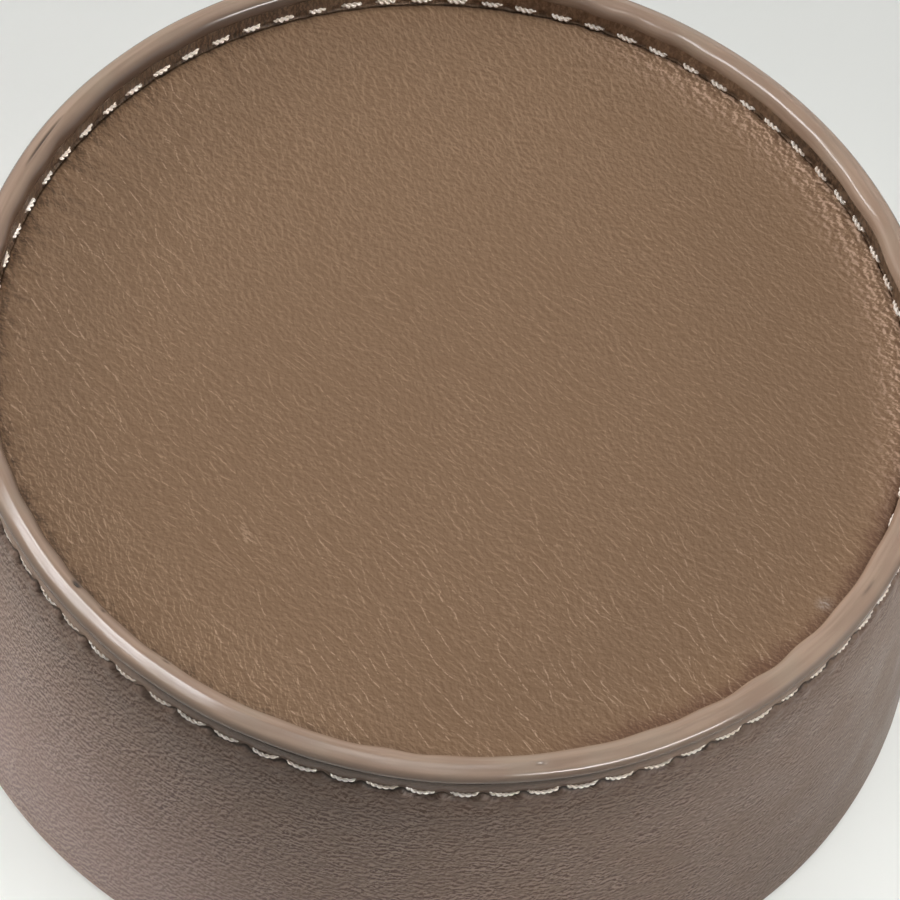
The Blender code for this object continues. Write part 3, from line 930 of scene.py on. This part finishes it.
def wall_leather_material():
    """Greyer leather with a grain of soft pebbles and short streaks, whose lit and shaded sides are painted
    into its colour, and painted shade in the seam's crease.
    """
    g = Graph("wall_leather")
    wrap = g.add("UVMap", uv_map="wrap").outputs["UV"]
    mm = g.warp(g.place(wrap, (PER_MM, PER_MM, PER_MM)), 0.35, 0.5)
    cloud = g.noise(mm, 0.16, 2.0)
    seam = seam_crease_shade(g, wrap)
    fizzy = g.warp(mm, 2.6, 0.25)

    def pebbles(at):
        return g.math("MULTIPLY", g.pebbles(g.place(at, (2.1, 1.8, 1.0))), -0.45)

    def pores(at):
        return g.noise(g.place(at, (2.8, 2.4, 1.0)), 1.0, 1.0)

    def grains(at):
        return g.noise(g.place(at, (2.3, 2.3, 1.0)), 1.0, 2.0)

    def streaks(at):
        return g.noise(g.place(at, (1.6, 2.8, 1.0)), 1.0, 2.0)

    grain = g.math("ADD", g.lit(fizzy, (0.04, 0.06), pebbles), g.lit(mm, (0.03, 0.05), pores))
    depth = g.add("SeparateXYZ", {"Vector": wrap}).outputs["Y"]
    place = g.add("TexCoord").outputs["Object"]
    side = g.add("SeparateXYZ", {"Vector": place}).outputs["X"]
    wavy = g.warp(mm, 0.9, 0.7)
    streak = g.math("MULTIPLY", g.lit(wavy, (0.0, 0.07), streaks), g.ramp(side, -0.030, 0.0, 0.15, 1.35))
    pebbled = g.math("MULTIPLY", g.lit(fizzy, (0.03, 0.07), grains), g.ramp(side, -0.030, 0.0, 1.5, 0.0))
    pebbled = g.math("MULTIPLY", pebbled, g.ramp(depth, 6.0 * MM, 20.0 * MM, 0.9, 1.7))
    streak = g.math("ADD", streak, pebbled)
    grain = g.math("ADD", g.math("MULTIPLY", grain, g.ramp(side, -0.035, 0.0, 0.6, 0.85)), streak)
    grain = g.math("MULTIPLY", grain, g.ramp(side, 0.0, 0.03, 1.3, 0.75))
    grain = g.math("MULTIPLY", grain, g.ramp(depth, 4.0 * MM, 6.5 * MM, 0.35, 1.0))
    grain = g.math("MULTIPLY", grain, g.ramp(g.noise(mm, 0.45, 1.0), 0.35, 0.65, 0.65, 1.35))
    # The grain's painted lit and shaded sides, stronger at the left.
    colour = g.mix(g.ramp(grain, -0.30, 0.30), tint(80, 56, 43), tint(150, 130, 117))
    colour = g.mix(g.ramp(cloud, 0.35, 0.70, 0.0, 0.25), colour, tint(122, 102, 87))
    # Painted light and shade: the colour grows lighter and greyer towards the bottom at the left, and darker
    # towards the bottom at the right.
    low = g.ramp(depth, 4 * MM, 38 * MM)
    colour = g.scale(colour, g.math("MULTIPLY_ADD", low, g.ramp(side, 0.005, 0.04, 0.0, -0.20), 1.0))
    colour = g.cover(colour, low, g.ramp(side, -0.03, 0.02, 0.45, 0.0), tint(151, 135, 131))
    colour = g.cover(colour, g.mark("smear"), 0.60, tint(138, 112, 92))
    # Painted shade under the rim, on the strip above the seam, below the seam and along the lap's edge.
    colour = g.cover(colour, g.mark("painted_shade"), 0.70, tint(44, 31, 23))
    colour = g.cover(colour, g.mark("wear"), 0.25, tint(146, 124, 104))
    # Painted shade in the seam's crease, under the stitches.
    colour = g.cover(colour, seam, 0.80, tint(34, 26, 21))
    g.bump(pores(mm), 0.05 * MM)
    return g.finish(colour, g.ramp(cloud, 0.3, 0.7, 0.40, 0.50), 0.18)


def edge_coat_material():
    """Glossy taupe edge paint, streaked along the rim, with painted shade down its outer side and on its
    inner slope at the left, and dark nicks.
    """
    g = Graph("edge_coat")
    wrap = g.add("UVMap", uv_map="wrap").outputs["UV"]
    mm = g.place(wrap, (PER_MM, PER_MM, PER_MM))
    streak = g.noise(g.place(mm, (0.12, 1.6, 1.0)), 1.0, 2.0)
    blotch = g.noise(mm, 0.16, 2.0)
    colour = g.mix(g.ramp(streak, 0.35, 0.70), tint(144, 119, 101), tint(158, 133, 114))
    colour = g.cover(colour, g.ramp(blotch, 0.45, 0.70), 0.45, tint(150, 133, 115))
    # Painted shade on the coat's sides.
    colour = g.cover(colour, g.mark("coat_shade"), 0.65, tint(74, 56, 44))
    colour = g.cover(colour, g.mark("nick"), 0.92, tint(44, 36, 32))
    g.bump(streak, 0.015 * MM)
    return g.finish(colour, g.ramp(blotch, 0.3, 0.7, 0.14, 0.22), 0.6)


def thread_material():
    """Cream waxed thread, with painted shade where it goes into the leather and over the dimmed stitches."""
    g = Graph("thread")
    mm = g.millimetres()
    fibre = g.noise(mm, 7.0, 3.0)
    shade = g.ramp(g.noise(mm, 0.35, 2.0), 0.35, 0.65)
    colour = g.mix(shade, tint(250, 235, 220), tint(255, 247, 237))
    colour = g.cover(colour, g.ramp(fibre, 0.40, 0.62, 1.0, 0.0), 0.14, tint(214, 184, 156))
    # Painted shade at the thread's ends and over the dimmed stitches.
    colour = g.mix(g.ramp(g.mark("end"), 0.86, 1.0, 0.0, 0.6), colour, tint(104, 86, 70))
    g.bump(fibre, 0.02 * MM)
    return g.finish(colour, g.ramp(fibre, 0.3, 0.7, 0.20, 0.32), 1.0)


def lining_material():
    """Napped dark brown lining, brushed in soft patches."""
    g = Graph("lining")
    mm = g.millimetres()
    nap = g.noise(mm, 2.6, 4.0, 0.65)
    brushed = g.noise(g.warp(mm, 0.08, 6.0), 0.11, 2.0)
    colour = g.mix(g.ramp(brushed, 0.35, 0.65), tint(86, 68, 54), tint(104, 84, 67))
    colour = g.cover(colour, g.ramp(nap, 0.35, 0.65), 0.5, tint(122, 101, 82))
    g.shader.inputs["Sheen Weight"].default_value = 0.35
    g.shader.inputs["Sheen Roughness"].default_value = 0.5
    g.bump(nap, 0.10 * MM)
    return g.finish(colour, g.ramp(nap, 0.3, 0.7, 0.82, 0.95), 0.2)


def fibreboard_material():
    """Pressed brown board: flecks in a matt ground."""
    g = Graph("fibreboard")
    mm = g.millimetres()
    fleck = g.noise(g.place(mm, (1.0, 0.3, 1.0)), 2.2, 4.0, 0.7)
    colour = g.mix(g.ramp(fleck, 0.35, 0.65), tint(134, 110, 82), tint(164, 140, 108))
    g.bump(fleck, 0.08 * MM)
    return g.finish(colour, g.ramp(fleck, 0.3, 0.7, 0.80, 0.95), 0.2)


def floor_material():
    """Plain pale floor, a little lighter towards the front.

    Part of its paleness is only seen or mirrored, and lights nothing.
    """
    g = Graph("floor")
    place = g.add("TexCoord").outputs["Object"]
    axes = g.add("SeparateXYZ", {"Vector": place})
    away = g.ramp(axes.outputs["Y"], -0.07, 0.10)
    across = g.ramp(axes.outputs["X"], -0.06, 0.06)
    front = g.mix(across, tint(180, 181, 177), tint(172, 173, 169))
    back = g.mix(across, tint(6, 6, 6), tint(72, 72, 70))
    path = g.add("LightPath")
    seen = g.math("MAXIMUM", path.outputs["Is Camera Ray"], path.outputs["Is Glossy Ray"])
    seen = g.math("MAXIMUM", seen, path.outputs["Is Transmission Ray"])
    g.put(g.shader.inputs["Emission Color"], g.mix(away, front, back))
    g.put(g.shader.inputs["Emission Strength"], seen)
    return g.finish(tint(195, 196, 193), 0.9, 0.1)


# The stage

def make_camera():
    """Camera at the photograph's viewing angle, aimed so that the rim's centre lands on its pixel."""
    data = bpy.data.cameras.new("photo_camera")
    data.sensor_width = SENSOR
    data.lens = FOCAL_PX / IMAGE_SIZE * SENSOR
    data.clip_start = 0.01
    data.clip_end = 20.0
    right = Vector((1.0, 0.0, 0.0))
    back = Vector((0.0, -math.cos(CAMERA_ELEVATION), math.sin(CAMERA_ELEVATION)))
    up = back.cross(right)
    upright = Matrix((right, up, back)).transposed()
    rolled = upright @ Matrix.Rotation(CAMERA_ROLL, 3, "Z")
    across = (RIM_CENTRE_PX[0] - IMAGE_SIZE / 2) / FOCAL_PX
    above = (IMAGE_SIZE / 2 - RIM_CENTRE_PX[1]) / FOCAL_PX
    aim = Vector((0.0, 0.0, -1.0)).rotation_difference(Vector((across, above, -1.0)))
    camera = bpy.data.objects.new("photo_camera", data)
    bpy.context.scene.collection.objects.link(camera)
    place = Vector((0.0, 0.0, HEIGHT)) + back * CAMERA_DISTANCE
    camera.matrix_world = Matrix.Translation(place) @ (rolled @ aim.to_matrix().transposed()).to_4x4()
    bpy.context.scene.camera = camera


def make_lamp(name, direction, distance, size, power, aim=HEIGHT, spread=180.0,
              mirrored=False, roll=0.0, colour=(1.0, 1.0, 1.0)):
    """A soft rectangular lamp that faces the cup. direction is where it stands, seen from the cup.

    aim is the height on the cup's axis that it points at, and spread the width of its beam in degrees.
    A mirrored lamp is only seen as a highlight on glossy surfaces. The others only light the cup.
    """
    data = bpy.data.lights.new(name, "AREA")
    data.shape = "RECTANGLE"
    data.size, data.size_y = size
    data.energy = power
    data.color = colour
    data.spread = math.radians(spread)
    lamp = bpy.data.objects.new(name, data)
    lamp.visible_glossy = mirrored
    lamp.visible_diffuse = not mirrored
    bpy.context.scene.collection.objects.link(lamp)
    target = Vector((0.0, 0.0, aim))
    away = Vector(direction).normalized()
    lamp.location = target + away * distance
    lamp.rotation_mode = "QUATERNION"
    facing = (-away).to_track_quat("-Z", "Y")
    lamp.rotation_quaternion = facing @ Quaternion((0.0, 0.0, 1.0), math.radians(roll))
    return lamp


def make_world():
    """Soft surroundings: pale where they are seen or mirrored, dimmer as light on the cup."""
    world = bpy.data.worlds.new("studio")
    world.use_nodes = True
    bpy.context.scene.world = world
    tree = world.node_tree
    background = tree.nodes["Background"]
    path = tree.nodes.new("ShaderNodeLightPath")
    seen = tree.nodes.new("ShaderNodeMath")
    seen.operation = "MAXIMUM"
    tree.links.new(path.outputs["Is Camera Ray"], seen.inputs[0])
    tree.links.new(path.outputs["Is Glossy Ray"], seen.inputs[1])
    also = tree.nodes.new("ShaderNodeMath")
    also.operation = "MAXIMUM"
    tree.links.new(seen.outputs[0], also.inputs[0])
    tree.links.new(path.outputs["Is Transmission Ray"], also.inputs[1])
    strength = tree.nodes.new("ShaderNodeMapRange")
    strength.inputs["To Min"].default_value = 0.02
    strength.inputs["To Max"].default_value = 0.75
    tree.links.new(also.outputs[0], strength.inputs["Value"])
    tree.links.new(strength.outputs["Result"], background.inputs["Strength"])
    background.inputs["Color"].default_value = tint(250, 251, 247)


def make_floor():
    half = 3.0
    corners = [(-half, -half, 0.0), (half, -half, 0.0), (half, half, 0.0), (-half, half, 0.0)]
    floor = new_piece("floor", corners, [(0, 1, 2, 3)])
    floor.data.materials.append(floor_material())


def make_lights():
    """Broad soft panels light the cup. The strips are there for the lines that the glossy rim mirrors."""
    make_lamp("top_panel", (0.14, 0.10, 1.0), 0.9, (0.6, 0.6), 7.8)
    make_lamp("left_panel", (-0.96, 0.26, 0.18), 0.7, (0.50, 0.30), 5.2)
    make_lamp("left_low", (-0.60, -0.80, 0.12), 0.55, (0.40, 0.02), 0.037, aim=-15.0 * MM, spread=12.0)
    make_lamp("right_panel", (0.97, -0.14, 0.12), 0.7, (0.50, 0.10), 0.19, aim=55.0 * MM, spread=30.0)
    cool = (0.93, 0.96, 1.0)
    make_lamp("left_strip", (-0.63, -0.21, 0.745), 0.6, (0.42, 0.12), 1.8,
              mirrored=True, roll=27.0, colour=cool)
    make_lamp("right_strip", (0.61, -0.62, 0.50), 0.6, (0.36, 0.07), 2.1, mirrored=True, roll=-14.0)
    make_lamp("front_strip", (0.0, -0.50, 0.87), 0.6, (0.30, 0.12), 0.30, mirrored=True)


# Assembly

def dress(piece, material, slot, *nodes):
    """Gives a piece its material, and puts it in the place of its CAD nodes."""
    piece.data.materials.append(material)
    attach(piece, "root")
    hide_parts(*nodes)


def repaint(node, material):
    """Gives a CAD node that stays a better material."""
    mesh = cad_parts[node].data
    mesh.materials.clear()
    mesh.materials.append(material)


def build():
    make_camera()
    thread = thread_material()
    lining = lining_material()
    board = fibreboard_material()
    dress(build_wall(), wall_leather_material(), "wall_leather", "outer_wall")
    dress(build_base(), base_leather_material(), "base_leather", "base_cover")
    dress(build_coat(), edge_coat_material(), "edge_coat", "rim_edge_coat")
    outer = build_stitches(
        "stitches_outer", seed=41, first=OUTER_STITCH_ANGLE,
        radius=RIM_RADIUS - 0.26 * MM, depth=SEAM_DEPTH, inward=-1,
        share=OUTER_SHARE, sag=OUTER_SAG, gauge=OUTER_GAUGE,
    )
    dress(outer, thread, "thread", "seam_thread_outer")
    inner = build_stitches(
        "stitches_inner", seed=42, first=INNER_STITCH_ANGLE,
        radius=FLANGE_INNER - 0.12 * MM, depth=INNER_DEPTH, inward=1,
        share=INNER_SHARE, sag=INNER_SAG, gauge=INNER_GAUGE,
    )
    dress(inner, thread, "thread", "seam_thread_inner")
    dress(build_wall_lining(), lining, "lining", "wall_lining")
    dress(build_floor_lining(), lining, "lining", "base_lining")
    repaint("wall_stiffener", board)
    repaint("base_board", board)
    make_floor()
    make_lights()
    make_world()


build()

bpy.context.scene.view_settings.view_transform = "Standard"
